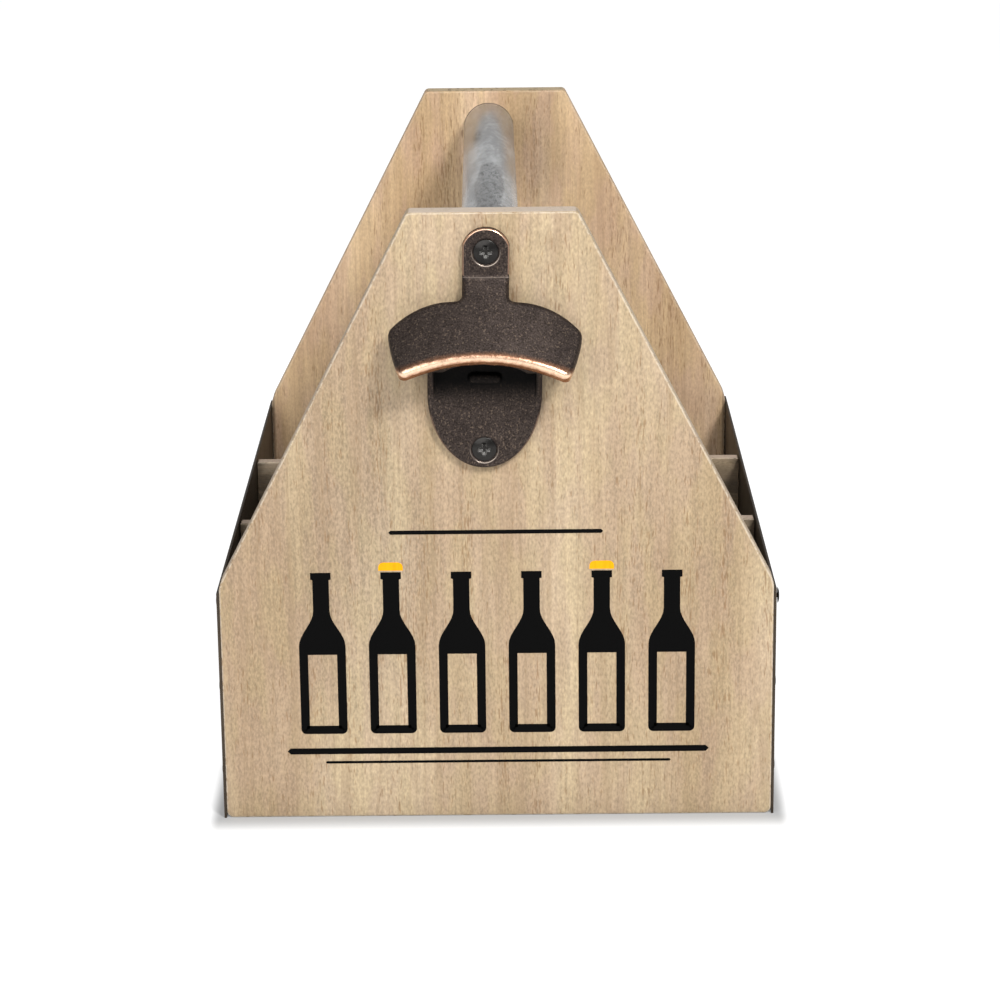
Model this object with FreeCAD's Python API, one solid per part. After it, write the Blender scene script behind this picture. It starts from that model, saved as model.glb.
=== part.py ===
import FreeCAD, Part
import math
import os

os.makedirs("parts", exist_ok=True)
Vector = FreeCAD.Vector

# Bottle caddy: two house-shaped boards joined by a base, two steel side sheets and a tube handle.
# A drop-in divider insert makes a cell for each bottle, and a cast opener is screwed to the front.
# Millimetres. X to the right seen from the front, Y from front to rear, Z up.
# The origin is the middle of the base's underside.

# Boards
caddy_length = 259.0
panel_width = 190.0
panel_top_width = 56.5
panel_shoulder_height = 84.7
panel_height = 214.0
panel_thickness = 9.0
panel_foot_radius = 2.5
panel_shoulder_radius = 12.0
panel_top_radius = 2.2
panel_arris = 0.9
base_thickness = 8.0

# Dowels between the base's ends and the panels
dowel_count = 3
dowel_diameter = 5.0
dowel_spacing = 62.0
dowel_cover = 3.0
dowel_in_base = 15.0
dowel_clearance = 0.05
dowel_end_clearance = 0.5

# Side sheets and their nails
sheet_thickness = 0.8
sheet_top_drop = 2.2
nail_shank_diameter = 1.6
nail_length = 14.0
nail_head_diameter = 5.6
nail_head_height = 0.4
nail_point_length = 2.4
nail_clearance = 0.05
nail_end_clearance = 0.3
proud_nail_rise = 0.7
panel_nail_count = 3
panel_nail_top_margin = 3.8
panel_nail_foot_margin = 17.0
base_nail_count = 4
base_nail_end_margin = 26.0

# Divider insert
cross_divider_names = ["front_cross_divider", "rear_cross_divider"]
divider_thickness = 5.0
divider_height = 73.0
divider_side_clearance = 0.4
divider_rest_gap = 0.2
divider_arris = 0.5
lap_clearance = 0.15

# Tube handle, its end plugs and its rear screw
handle_diameter = 20.0
handle_wall = 1.2
handle_drop = 15.0
handle_front_offset = -0.8
handle_rear_offset = -2.7
socket_depth = 3.0
socket_clearance = 0.1
socket_end_clearance = 0.1
plug_length = 26.0
plug_clearance = 0.05

# Wood screws
screw_shank_diameter = 3.6
screw_head_diameter = 8.4
screw_dome_height = 0.8
screw_point_length = 3.0
screw_clearance = 0.07
screw_end_clearance = 0.4
screw_plug_grip = 14.0
screw_back_wood = 1.2
recess_length = 5.0
recess_width = 1.6
recess_depth = 1.9
recess_foot_share = 0.5

# Cast opener, drawn about its upper screw hole: back plate, sloping brow, cheeks, mouth and tooth
opener_drop = 12.9
opener_offset = -2.2
opener_tilt = 1.1
opener_screw_spacing = 67.5
countersink_margin = 0.5
plate_thickness = 3.0
plate_edge_radius = 0.9
tab_width = 15.6
tab_rise = 8.1
tab_crown = 5.9
neck_drop = 17.0
flare_drop = 22.0
tongue_width = 38.4
tongue_drop = 48.0
tongue_rim = 6.5
brow_slope = 40.0
brow_crease_drop = 8.5
brow_thickness = 4.0
brow_plan_radius = 48.0
brow_width = 64.6
brow_lip_width = 55.0
brow_neck_length = 7.8
brow_neck_radius = 1.9
brow_shoulder_flat = 2.8
brow_shoulder_drop = 8.7
brow_lip_middle = 30.2
brow_lip_ends = 35.0
brow_corner_radius = 4.0
brow_lip_radius = 2.3
brow_end_bulge = 0.7
brow_edge_radius = 2.0
brow_reveal = 3.0
crease_bead_radius = 0.4
cheek_thickness = 1.3
cheek_foot_drop = 49.5
cheek_flare_drop = 41.5
cheek_flare_radius = 3.6
cheek_hollow = 1.4
throat_setback = 1.0
mouth_arch_drop = 45.0
mouth_arch_rise = 10.6
cap_pocket_depth = 8.5
tooth_width = 7.4
tooth_height = 4.0
tooth_drop = 42.8

# One length by which every cutting tool passes the faces it cuts, and one for finding edges by their place
overrun = 1.0
edge_tolerance = 0.01

# Places that follow from the sizes above
half_width = panel_width / 2
outer_front = -caddy_length / 2
outer_rear = caddy_length / 2
inner_front = outer_front + panel_thickness
inner_rear = outer_rear - panel_thickness
panel_gap = inner_rear - inner_front
sheet_height = panel_shoulder_height - sheet_top_drop
handle_height = panel_height - handle_drop
handle_radius = handle_diameter / 2
plug_radius = handle_radius - handle_wall - plug_clearance
opener_hole_height = panel_height - opener_drop
shank_radius = screw_shank_diameter / 2
screw_hole_radius = shank_radius + screw_clearance
nail_hole_radius = nail_shank_diameter / 2 + nail_clearance
dowel_hole_radius = dowel_diameter / 2 + dowel_clearance
dowel_in_panel = panel_thickness - dowel_cover
screw_head_radius = screw_head_diameter / 2
countersink_radius = screw_head_radius + countersink_margin
lower_screw_x = opener_offset - opener_screw_spacing * math.sin(math.radians(opener_tilt))
lower_screw_z = opener_hole_height - opener_screw_spacing * math.cos(math.radians(opener_tilt))
right = Vector(1, 0, 0)
rearward = Vector(0, 1, 0)
frontward = Vector(0, -1, 0)
up = Vector(0, 0, 1)


def block(low, high):
    size = high - low
    return Part.makeBox(size.x, size.y, size.z, low)


def rod(radius, start, end):
    return Part.makeCylinder(radius, (end - start).Length, start, end - start)


def edges_where(shape, test):
    return [edge for edge in shape.Edges if test(edge)]


def lies_on(edge, axis, place):
    box = edge.BoundBox
    low, high = {"y": (box.YMin, box.YMax), "z": (box.ZMin, box.ZMax)}[axis]
    return abs(low - place) < edge_tolerance and abs(high - place) < edge_tolerance


def corner_arc(before, corner, after, radius):
    # The start, middle and end of the round that replaces one corner of an outline
    inward = (before - corner).normalize()
    onward = (after - corner).normalize()
    half_angle = inward.getAngle(onward) / 2
    tangent = radius / math.tan(half_angle)
    bisector = (inward + onward).normalize()
    middle = corner + bisector * (radius / math.sin(half_angle) - radius)
    return corner + inward * tangent, middle, corner + onward * tangent


def rounded_face(corners, radii):
    arcs = []
    for index, corner in enumerate(corners):
        after = corners[(index + 1) % len(corners)]
        arcs.append(corner_arc(corners[index - 1], corner, after, radii[index]))
    edges = []
    for index, (start, middle, end) in enumerate(arcs):
        edges.append(Part.LineSegment(arcs[index - 1][2], start).toShape())
        edges.append(Part.Arc(start, middle, end).toShape())
    return Part.Face(Part.Wire(edges))


def spread(first, last, count):
    return [first + (last - first) * index / (count - 1) for index in range(count)]


def aimed(shape, place, outward):
    # A fastener drawn along Z, head up, set with its head facing outward
    turned = shape.copy()
    turned.Placement = FreeCAD.Placement(place, FreeCAD.Rotation(up, outward))
    return turned


def lathe(edges):
    return Part.Face(Part.Wire(edges)).revolve(Vector(0, 0, 0), up, 360)


# Fasteners, drawn with the underside of a nail's head, or the rim of a screw's head, at height zero

def nail():
    head = nail_head_diameter / 2
    shank = nail_shank_diameter / 2
    dome_share = 0.72
    top = Vector(0, 0, nail_head_height)
    rim = Vector(head, 0, 0)
    shoulder = Vector(head * dome_share, 0, nail_head_height * dome_share)
    neck = Vector(shank, 0, 0)
    waist = Vector(shank, 0, nail_point_length - nail_length)
    point = Vector(0, 0, -nail_length)
    return lathe([
        Part.Arc(top, shoulder, rim).toShape(),
        Part.LineSegment(rim, neck).toShape(),
        Part.LineSegment(neck, waist).toShape(),
        Part.LineSegment(waist, point).toShape(),
        Part.LineSegment(point, top).toShape(),
    ])


def recess_slot(along, across):
    # One slot of the cross recess, which narrows towards its foot
    narrowing = (1 - recess_foot_share) / recess_depth
    outlines = []
    for height in (screw_dome_height - recess_depth, screw_dome_height + overrun):
        share = 1 + narrowing * (height - screw_dome_height)
        x = along * share / 2
        y = across * share / 2
        corners = [Vector(-x, -y, height), Vector(x, -y, height), Vector(x, y, height), Vector(-x, y, height)]
        outlines.append(Part.makePolygon(corners + corners[:1]))
    return Part.makeLoft(outlines, True)


def screw(length):
    dome_share = 0.74
    cone_depth = screw_head_radius - shank_radius
    top = Vector(0, 0, screw_dome_height)
    rim = Vector(screw_head_radius, 0, 0)
    shoulder = Vector(screw_head_radius * dome_share, 0, screw_dome_height * (1 - dome_share ** 2))
    neck = Vector(shank_radius, 0, -cone_depth)
    waist = Vector(shank_radius, 0, screw_point_length - length)
    point = Vector(0, 0, -length)
    body = lathe([
        Part.Arc(top, shoulder, rim).toShape(),
        Part.LineSegment(rim, neck).toShape(),
        Part.LineSegment(neck, waist).toShape(),
        Part.LineSegment(waist, point).toShape(),
        Part.LineSegment(point, top).toShape(),
    ])
    cross = [recess_slot(recess_length, recess_width), recess_slot(recess_width, recess_length)]
    return body.cut(cross)


def countersunk_hole(mouth_radius, hole_radius, mouth, inward, length):
    cone_depth = mouth_radius - hole_radius
    cone = Part.makeCone(mouth_radius, hole_radius, cone_depth, mouth, inward)
    collar = rod(mouth_radius, mouth - inward * overrun, mouth)
    return cone.fuse([collar, rod(hole_radius, mouth, mouth + inward * length)])


def opener_screw_hole(x, z, panel_face, length):
    mouth = Vector(x, panel_face - plate_thickness, z)
    return countersunk_hole(countersink_radius, screw_hole_radius, mouth, rearward, length)


# Where the fasteners go

panel_nail_heights = spread(panel_nail_foot_margin, sheet_height - panel_nail_top_margin, panel_nail_count)
base_nail_reach = panel_gap / 2 - base_nail_end_margin
base_nail_places = spread(-base_nail_reach, base_nail_reach, base_nail_count)
dowel_reach = dowel_spacing * (dowel_count - 1) / 2
dowel_places = spread(-dowel_reach, dowel_reach, dowel_count)
nail_sink = nail_length - sheet_thickness + nail_end_clearance

# The rim of each screw's head, the length of the screw and the way its head faces
plate_rim = outer_front - plate_thickness + countersink_radius - screw_head_radius - screw_clearance
upper_rim = Vector(opener_offset, plate_rim, opener_hole_height)
lower_rim = Vector(lower_screw_x, plate_rim, lower_screw_z)
rear_rim = Vector(handle_rear_offset, outer_rear, handle_height)
upper_screw_length = inner_front - socket_depth + screw_plug_grip - plate_rim
lower_screw_length = inner_front - screw_back_wood - plate_rim
rear_screw_length = panel_thickness - socket_depth + screw_plug_grip


def nail_row(side, y_place, heights):
    outside = right * side
    face = half_width + sheet_thickness
    return [aimed(nail(), Vector(side * face, y_place, z), outside) for z in heights]


def panel_nails(side):
    nails = []
    for y_place in (outer_front + panel_thickness / 2, outer_rear - panel_thickness / 2):
        nails += nail_row(side, y_place, panel_nail_heights)
    if side > 0:
        # The nail below the right shoulder of the front panel is not driven home
        nails[panel_nail_count - 1].translate(right * proud_nail_rise)
    return Part.makeCompound(nails)


def base_nails(side):
    nails = []
    for y_place in base_nail_places:
        nails += nail_row(side, y_place, [base_thickness / 2])
    return Part.makeCompound(nails)


# Boards

def house_face(y_place):
    half_top = panel_top_width / 2
    corners = [
        Vector(-half_width, y_place, 0),
        Vector(half_width, y_place, 0),
        Vector(half_width, y_place, panel_shoulder_height),
        Vector(half_top, y_place, panel_height),
        Vector(-half_top, y_place, panel_height),
        Vector(-half_width, y_place, panel_shoulder_height),
    ]
    radii = [panel_foot_radius, panel_foot_radius, panel_shoulder_radius]
    radii += [panel_top_radius, panel_top_radius, panel_shoulder_radius]
    return rounded_face(corners, radii)


def bare_panel(y_place):
    board = house_face(y_place).extrude(rearward * panel_thickness)
    outline = edges_where(board, lambda edge: lies_on(edge, "y", y_place))
    outline += edges_where(board, lambda edge: lies_on(edge, "y", y_place + panel_thickness))
    return board.makeFillet(panel_arris, outline)


def panel_cuts(inner_face, outward, handle_x):
    # The handle's socket, the dowel holes and the nail holes that both panels have
    socket_radius = handle_radius + socket_clearance
    mouth = Vector(handle_x, inner_face, handle_height)
    cuts = [rod(socket_radius, mouth - outward * overrun, mouth + outward * socket_depth)]
    for x in dowel_places:
        start = Vector(x, inner_face, base_thickness / 2)
        hole_depth = dowel_in_panel + dowel_end_clearance
        cuts.append(rod(dowel_hole_radius, start - outward * overrun, start + outward * hole_depth))
    middle = inner_face + outward.y * panel_thickness / 2
    for side in (-1, 1):
        for z in panel_nail_heights:
            start = Vector(side * (half_width + overrun), middle, z)
            cuts.append(rod(nail_hole_radius, start, start - right * side * (nail_sink + overrun)))
    return cuts


def front_panel():
    cuts = panel_cuts(inner_front, frontward, handle_front_offset)
    through = plate_thickness + panel_thickness
    blind = through - screw_back_wood + screw_end_clearance
    cuts.append(opener_screw_hole(opener_offset, opener_hole_height, outer_front, through))
    cuts.append(opener_screw_hole(lower_screw_x, lower_screw_z, outer_front, blind))
    return bare_panel(outer_front).cut(cuts)


def rear_panel():
    cuts = panel_cuts(inner_rear, rearward, handle_rear_offset)
    mouth_radius = screw_head_radius + screw_clearance
    cuts.append(countersunk_hole(mouth_radius, screw_hole_radius, rear_rim, frontward, panel_thickness))
    return bare_panel(inner_rear).cut(cuts)


def base_board():
    board = block(Vector(-half_width, inner_front, 0), Vector(half_width, inner_rear, base_thickness))
    cuts = []
    for end, inward in ((inner_front, rearward), (inner_rear, frontward)):
        for x in dowel_places:
            start = Vector(x, end, base_thickness / 2)
            hole_depth = dowel_in_base + dowel_end_clearance
            cuts.append(rod(dowel_hole_radius, start - inward * overrun, start + inward * hole_depth))
    for side in (-1, 1):
        for y_place in base_nail_places:
            start = Vector(side * (half_width + overrun), y_place, base_thickness / 2)
            cuts.append(rod(nail_hole_radius, start, start - right * side * (nail_sink + overrun)))
    return board.cut(cuts)


def base_dowels(end, outward):
    dowels = []
    for x in dowel_places:
        middle = Vector(x, end, base_thickness / 2)
        start = middle - outward * dowel_in_base
        dowels.append(rod(dowel_diameter / 2, start, middle + outward * dowel_in_panel))
    return Part.makeCompound(dowels)


def side_sheet(side):
    inner = side * half_width
    outer = side * (half_width + sheet_thickness)
    low = Vector(min(inner, outer), outer_front, 0)
    sheet = block(low, Vector(max(inner, outer), outer_rear, sheet_height))
    places = [(y, base_thickness / 2) for y in base_nail_places]
    for y in (outer_front + panel_thickness / 2, outer_rear - panel_thickness / 2):
        places += [(y, z) for z in panel_nail_heights]
    cuts = []
    for y, z in places:
        start = Vector(inner - side * overrun, y, z)
        end = Vector(outer + side * overrun, y, z)
        cuts.append(rod(nail_hole_radius, start, end))
    return sheet.cut(cuts)


# Divider insert: the boards half-lap at mid height, the cross dividers slotted from below

cross_divider_count = len(cross_divider_names)
row_count = cross_divider_count + 1
cell_length = (panel_gap - cross_divider_count * divider_thickness) / row_count
divider_foot = base_thickness + divider_rest_gap
divider_top = divider_foot + divider_height
lap_height = divider_foot + divider_height / 2
lap_half = divider_thickness / 2 + lap_clearance


def eased(board):
    rim = edges_where(board, lambda edge: lies_on(edge, "z", divider_top))
    return board.makeFillet(divider_arris, rim)


def cross_divider_middle(index):
    return inner_front + (index + 1) * (cell_length + divider_thickness) - divider_thickness / 2


def cross_divider(index):
    reach = half_width - divider_side_clearance
    middle = cross_divider_middle(index)
    half = divider_thickness / 2
    low = Vector(-reach, middle - half, divider_foot)
    board = eased(block(low, Vector(reach, middle + half, divider_top)))
    slot_low = Vector(-lap_half, middle - half - overrun, divider_foot - overrun)
    slot_high = Vector(lap_half, middle + half + overrun, lap_height + lap_clearance)
    return board.cut(block(slot_low, slot_high))


def centre_divider():
    reach = panel_gap / 2 - divider_side_clearance
    half = divider_thickness / 2
    board = eased(block(Vector(-half, -reach, divider_foot), Vector(half, reach, divider_top)))
    for index in range(cross_divider_count):
        middle = cross_divider_middle(index)
        slot_low = Vector(-half - overrun, middle - lap_half, lap_height - lap_clearance)
        slot_high = Vector(half + overrun, middle + lap_half, divider_top + overrun)
        board = board.cut(block(slot_low, slot_high))
    return board


# Handle

tube_in_socket = socket_depth - socket_end_clearance
tube_front = Vector(handle_front_offset, inner_front - tube_in_socket, handle_height)
tube_rear = Vector(handle_rear_offset, inner_rear + tube_in_socket, handle_height)
tube_axis = (tube_rear - tube_front).normalize()


def handle_tube():
    bore_start = tube_front - tube_axis * overrun
    bore_end = tube_rear + tube_axis * overrun
    bore = rod(handle_radius - handle_wall, bore_start, bore_end)
    return rod(handle_radius, tube_front, tube_rear).cut(bore)


def handle_plug(end, inward, screw_x, screw_z):
    plug = rod(plug_radius, end, end + tube_axis * tube_axis.dot(inward) * plug_length)
    hole_start = Vector(screw_x, end.y, screw_z) - inward * overrun
    hole_length = screw_plug_grip + screw_end_clearance + overrun
    return plug.cut(rod(screw_hole_radius, hole_start, hole_start + inward * hole_length))


# Opener, drawn upright about its upper screw hole, with the panel's face at zero depth

slope = math.radians(brow_slope)
downslope = Vector(0, -math.sin(slope), -math.cos(slope))
facing = Vector(0, -math.cos(slope), math.sin(slope))
crease = Vector(0, -plate_thickness, -brow_crease_drop)
brow_axis = Vector(0, brow_plan_radius - plate_thickness, 0)


def on_slope(across, along):
    return crease + right * across + downslope * along


def half_ellipse(centre, side, tip):
    # The half of an ellipse that runs from one side through the tip to the other side
    if (tip - centre).Length > (side - centre).Length:
        return Part.ArcOfEllipse(Part.Ellipse(tip, side, centre), -math.pi / 2, math.pi / 2).toShape()
    return Part.ArcOfEllipse(Part.Ellipse(side, tip, centre), 0, math.pi).toShape()


def opener_plate():
    half_tab = tab_width / 2
    half_tongue = tongue_width / 2
    tab_side = tab_rise - tab_crown
    tongue_length = opener_screw_spacing + tongue_rim - tongue_drop
    tongue_centre = Vector(0, 0, -tongue_drop)
    tongue_foot = Vector(0, 0, -tongue_drop - tongue_length)
    tongue_side = Vector(half_tongue, 0, -tongue_drop)
    curve = half_ellipse(tongue_centre, tongue_side, tongue_foot)
    sides = []
    for side in (-1, 1):
        line = [
            Vector(side * half_tab, 0, tab_side),
            Vector(side * half_tab, 0, -neck_drop),
            Vector(side * half_tongue, 0, -flare_drop),
            Vector(side * half_tongue, 0, -tongue_drop),
        ]
        sides += [Part.LineSegment(a, b).toShape() for a, b in zip(line, line[1:])]
    top = Part.Arc(Vector(-half_tab, 0, tab_side), Vector(0, 0, tab_rise), Vector(half_tab, 0, tab_side))
    wire = Part.Wire(Part.__sortEdges__([top.toShape(), curve] + sides))
    plate = Part.Face(wire).extrude(frontward * plate_thickness)
    rim = edges_where(plate, lambda edge: lies_on(edge, "y", -plate_thickness))
    return plate.makeFillet(plate_edge_radius, rim)


def brow_cone(inner_offset, outer_offset):
    # A band of the cone that carries the brow, between two depths below its outer surface
    start = on_slope(0, -plate_thickness)
    end = on_slope(0, brow_lip_ends + brow_thickness + brow_width / 2)
    corners = [
        start - facing * outer_offset,
        end - facing * outer_offset,
        end - facing * inner_offset,
        start - facing * inner_offset,
    ]
    face = Part.Face(Part.makePolygon(corners + corners[:1]))
    sweep = 150
    face.rotate(brow_axis, up, -sweep / 2)
    return face.revolve(brow_axis, up, sweep)


def brow_outline_tool():
    # The brow's outline seen square to its slope: neck, shoulders, bulging ends and arched lip
    half_tab = tab_width / 2
    half_brow = brow_width / 2
    half_lip = brow_lip_width / 2
    diagonal_share = math.sqrt(0.5)
    fillet_end = half_tab + brow_neck_radius
    fillet_start = brow_neck_length - brow_neck_radius
    fillet_across = fillet_end - brow_neck_radius * diagonal_share
    fillet_along = fillet_start + brow_neck_radius * diagonal_share
    shoulder_start = fillet_end + brow_shoulder_flat
    shoulder_run = half_brow - shoulder_start
    shoulder_radius = (shoulder_run ** 2 + brow_shoulder_drop ** 2) / (2 * brow_shoulder_drop)
    half_turn = math.atan2(brow_shoulder_drop, shoulder_run)
    shoulder_across = shoulder_start + shoulder_radius * math.sin(half_turn)
    shoulder_along = brow_neck_length + shoulder_radius * (1 - math.cos(half_turn))
    corner_along = brow_neck_length + brow_shoulder_drop
    end_across = (half_brow + half_lip) / 2 + brow_end_bulge
    end_along = (corner_along + brow_lip_ends) / 2

    edges = []
    corners = []
    lip_ends = []
    for side in (-1, 1):
        top = on_slope(side * half_tab, -brow_reveal)
        neck = on_slope(side * half_tab, fillet_start)
        fillet = on_slope(side * fillet_across, fillet_along)
        neck_end = on_slope(side * fillet_end, brow_neck_length)
        shoulder = on_slope(side * shoulder_start, brow_neck_length)
        shoulder_middle = on_slope(side * shoulder_across, shoulder_along)
        corner = on_slope(side * half_brow, corner_along)
        lip_end = on_slope(side * half_lip, brow_lip_ends)
        edges.append(Part.LineSegment(on_slope(0, -brow_reveal), top).toShape())
        edges.append(Part.LineSegment(top, neck).toShape())
        edges.append(Part.Arc(neck, fillet, neck_end).toShape())
        edges.append(Part.LineSegment(neck_end, shoulder).toShape())
        edges.append(Part.Arc(shoulder, shoulder_middle, corner).toShape())
        edges.append(Part.Arc(corner, on_slope(side * end_across, end_along), lip_end).toShape())
        corners.append(corner)
        lip_ends.append(lip_end)
    edges.append(Part.Arc(lip_ends[0], on_slope(0, brow_lip_middle), lip_ends[1]).toShape())
    outline = Part.Face(Part.Wire(Part.__sortEdges__(edges)))
    outline.translate(facing * -half_brow)
    tool = outline.extrude(facing * brow_width)

    for places, radius in ((corners, brow_corner_radius), (lip_ends, brow_lip_radius)):
        standing = [edge for edge in tool.Edges for place in places
                    if (edge.CenterOfMass - place).Length < edge_tolerance]
        tool = tool.makeFillet(radius, standing)
    return tool


def opener_brow():
    brow = brow_cone(brow_thickness, 0).common(brow_outline_tool())
    room = brow_width
    brow = brow.common(block(Vector(-room, -room, -room), Vector(room, 0, 0))).Solids[0]
    outer_face = max(brow.Faces, key=lambda face: face.Area)

    def is_rim(edge):
        along = (edge.CenterOfMass - crease).dot(downslope)
        return along > brow_edge_radius - brow_reveal

    return brow.makeFillet(brow_edge_radius, edges_where(outer_face, is_rim))


def throat_outline():
    # Seen from the front: the cheeks, which spread under the brow, and the mouth's arch between them
    outside = tongue_width / 2 - plate_edge_radius
    inside = outside - cheek_thickness
    spread_out = outside + cheek_flare_radius
    flare_top = cheek_flare_radius - cheek_flare_drop
    diagonal_share = math.sqrt(0.5)
    bend_across = spread_out - cheek_flare_radius * diagonal_share
    bend_height = cheek_flare_radius * diagonal_share - cheek_flare_drop
    arch_centre = Vector(0, 0, -mouth_arch_drop)
    arch_tip = arch_centre + up * mouth_arch_rise
    edges = [half_ellipse(arch_centre, arch_centre + right * inside, arch_tip)]
    top_ends = [Vector(side * spread_out, 0, -flare_drop) for side in (-1, 1)]
    edges.append(Part.LineSegment(top_ends[0], top_ends[1]).toShape())
    for side in (-1, 1):
        foot_inside = Vector(side * inside, 0, -cheek_foot_drop)
        foot_outside = Vector(side * outside, 0, -cheek_foot_drop)
        flare_start = Vector(side * outside, 0, -cheek_flare_drop)
        flare_bend = Vector(side * bend_across, 0, bend_height)
        flare_end = Vector(side * spread_out, 0, flare_top)
        edges.append(Part.LineSegment(arch_centre + right * side * inside, foot_inside).toShape())
        edges.append(Part.LineSegment(foot_inside, foot_outside).toShape())
        edges.append(Part.LineSegment(foot_outside, flare_start).toShape())
        edges.append(Part.Arc(flare_start, flare_bend, flare_end).toShape())
        edges.append(Part.LineSegment(flare_end, Vector(side * spread_out, 0, -flare_drop)).toShape())
    return Part.Face(Part.Wire(Part.__sortEdges__(edges)))


def flare_taper(side, lip_depth):
    # What is taken off a cheek's outside, so that its spread dies away from the lip to the plate
    outside = tongue_width / 2 - plate_edge_radius
    spread_out = outside + cheek_flare_radius
    foot = -cheek_foot_drop - overrun
    corners = [
        Vector(side * outside, 0, foot),
        Vector(side * outside, -plate_thickness, foot),
        Vector(side * spread_out, -lip_depth, foot),
        Vector(side * (spread_out + overrun), -lip_depth, foot),
        Vector(side * (spread_out + overrun), 0, foot),
    ]
    face = Part.Face(Part.makePolygon(corners + corners[:1]))
    return face.extrude(up * cheek_foot_drop)


def opener_throat():
    # The cheeks and the web that arches between them, hollow behind the lip for the edge of a cap
    lip_inside = on_slope(0, brow_lip_middle - throat_setback) - facing * brow_thickness
    foot = Vector(0, -plate_thickness, -cheek_foot_drop)
    chord = lip_inside - foot
    hollow = foot + chord / 2 + chord.cross(right).normalize() * cheek_hollow
    back = Vector(0, -plate_thickness / 2, -cheek_foot_drop)
    top = Vector(0, -plate_thickness / 2, -flare_drop)
    front = Vector(0, lip_inside.y, -flare_drop)
    profile = Part.Face(Part.Wire([
        Part.LineSegment(top, back).toShape(),
        Part.LineSegment(back, foot).toShape(),
        Part.Arc(foot, hollow, lip_inside).toShape(),
        Part.LineSegment(lip_inside, front).toShape(),
        Part.LineSegment(front, top).toShape(),
    ]))
    profile.translate(right * -tongue_width)
    sides = profile.extrude(right * tongue_width * 2)
    walls = throat_outline().extrude(frontward * -front.y)
    behind_brow = brow_cone(brow_width / 2, brow_thickness / 2)
    pocket_reach = tongue_width / 2 - plate_edge_radius - cheek_thickness
    pocket_low = Vector(-pocket_reach, -plate_thickness - cap_pocket_depth, -cheek_foot_drop - overrun)
    pocket_high = Vector(pocket_reach, -plate_thickness, -flare_drop + overrun)
    cuts = [block(pocket_low, pocket_high)] + [flare_taper(side, -lip_inside.y) for side in (-1, 1)]
    return walls.common(sides).common(behind_brow).cut(cuts)


def opener_tooth():
    left_end = Vector(-tooth_width / 2, -plate_thickness, -tooth_drop)
    right_end = Vector(tooth_width / 2, -plate_thickness, -tooth_drop)
    radius = tooth_height / 2
    round_ends = [Part.makeSphere(radius, end) for end in (left_end, right_end)]
    return rod(radius, left_end, right_end).fuse(round_ends)


def crease_bead():
    # The low line across the tab where the brow starts
    half = tab_width / 2
    return rod(crease_bead_radius, crease - right * half, crease + right * half)


def opener_casting():
    rest = [opener_brow(), opener_throat(), opener_tooth(), crease_bead()]
    casting = opener_plate().fuse(rest).removeSplitter()
    for drop in (0, opener_screw_spacing):
        casting = casting.cut(opener_screw_hole(0, -drop, 0, plate_thickness + overrun))
    casting.rotate(Vector(0, 0, 0), rearward, opener_tilt)
    casting.translate(Vector(opener_offset, outer_front, opener_hole_height))
    return casting


pieces = {
    "front_panel": front_panel(),
    "rear_panel": rear_panel(),
    "base_board": base_board(),
    "front_base_dowels": base_dowels(inner_front, frontward),
    "rear_base_dowels": base_dowels(inner_rear, rearward),
    "left_side_sheet": side_sheet(-1),
    "right_side_sheet": side_sheet(1),
    "left_panel_nails": panel_nails(-1),
    "right_panel_nails": panel_nails(1),
    "left_base_nails": base_nails(-1),
    "right_base_nails": base_nails(1),
    "centre_divider": centre_divider(),
    "handle_tube": handle_tube(),
    "front_handle_plug": handle_plug(tube_front, rearward, opener_offset, opener_hole_height),
    "rear_handle_plug": handle_plug(tube_rear, frontward, handle_rear_offset, handle_height),
    "rear_handle_screw": aimed(screw(rear_screw_length), rear_rim, rearward),
    "opener_casting": opener_casting(),
    "upper_opener_screw": aimed(screw(upper_screw_length), upper_rim, frontward),
    "lower_opener_screw": aimed(screw(lower_screw_length), lower_rim, frontward),
}

for index, name in enumerate(cross_divider_names):
    pieces[name] = cross_divider(index)

for name, shape in pieces.items():
    shape.exportStep("parts/" + name + ".step")
    print(name, "solids", len(shape.Solids), "valid", shape.isValid(), "volume", round(shape.Volume, 1))
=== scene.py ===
import bmesh
import bpy
import math
from mathutils import Matrix, Vector


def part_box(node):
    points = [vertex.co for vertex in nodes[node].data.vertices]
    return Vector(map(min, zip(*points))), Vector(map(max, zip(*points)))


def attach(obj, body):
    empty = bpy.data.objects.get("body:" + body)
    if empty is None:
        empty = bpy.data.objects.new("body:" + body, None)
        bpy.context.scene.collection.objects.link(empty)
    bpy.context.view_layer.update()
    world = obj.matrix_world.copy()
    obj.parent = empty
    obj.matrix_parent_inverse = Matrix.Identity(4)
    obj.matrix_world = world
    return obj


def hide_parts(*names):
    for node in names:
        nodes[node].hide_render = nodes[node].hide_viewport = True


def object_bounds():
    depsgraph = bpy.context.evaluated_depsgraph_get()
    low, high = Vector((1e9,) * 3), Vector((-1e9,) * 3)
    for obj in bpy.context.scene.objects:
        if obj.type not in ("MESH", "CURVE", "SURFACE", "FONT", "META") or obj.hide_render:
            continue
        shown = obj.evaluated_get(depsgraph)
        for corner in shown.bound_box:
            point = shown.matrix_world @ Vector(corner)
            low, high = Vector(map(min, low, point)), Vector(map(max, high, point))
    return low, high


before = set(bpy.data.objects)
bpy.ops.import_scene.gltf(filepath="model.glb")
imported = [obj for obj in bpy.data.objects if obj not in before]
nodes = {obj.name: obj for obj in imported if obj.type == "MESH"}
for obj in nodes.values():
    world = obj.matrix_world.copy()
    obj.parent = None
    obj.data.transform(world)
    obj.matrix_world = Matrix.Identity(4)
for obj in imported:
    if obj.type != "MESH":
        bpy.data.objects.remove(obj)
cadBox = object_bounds()
mm = 0.001
print("frame loaded,", len(nodes), "nodes")


# Small helpers for shader trees

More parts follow.
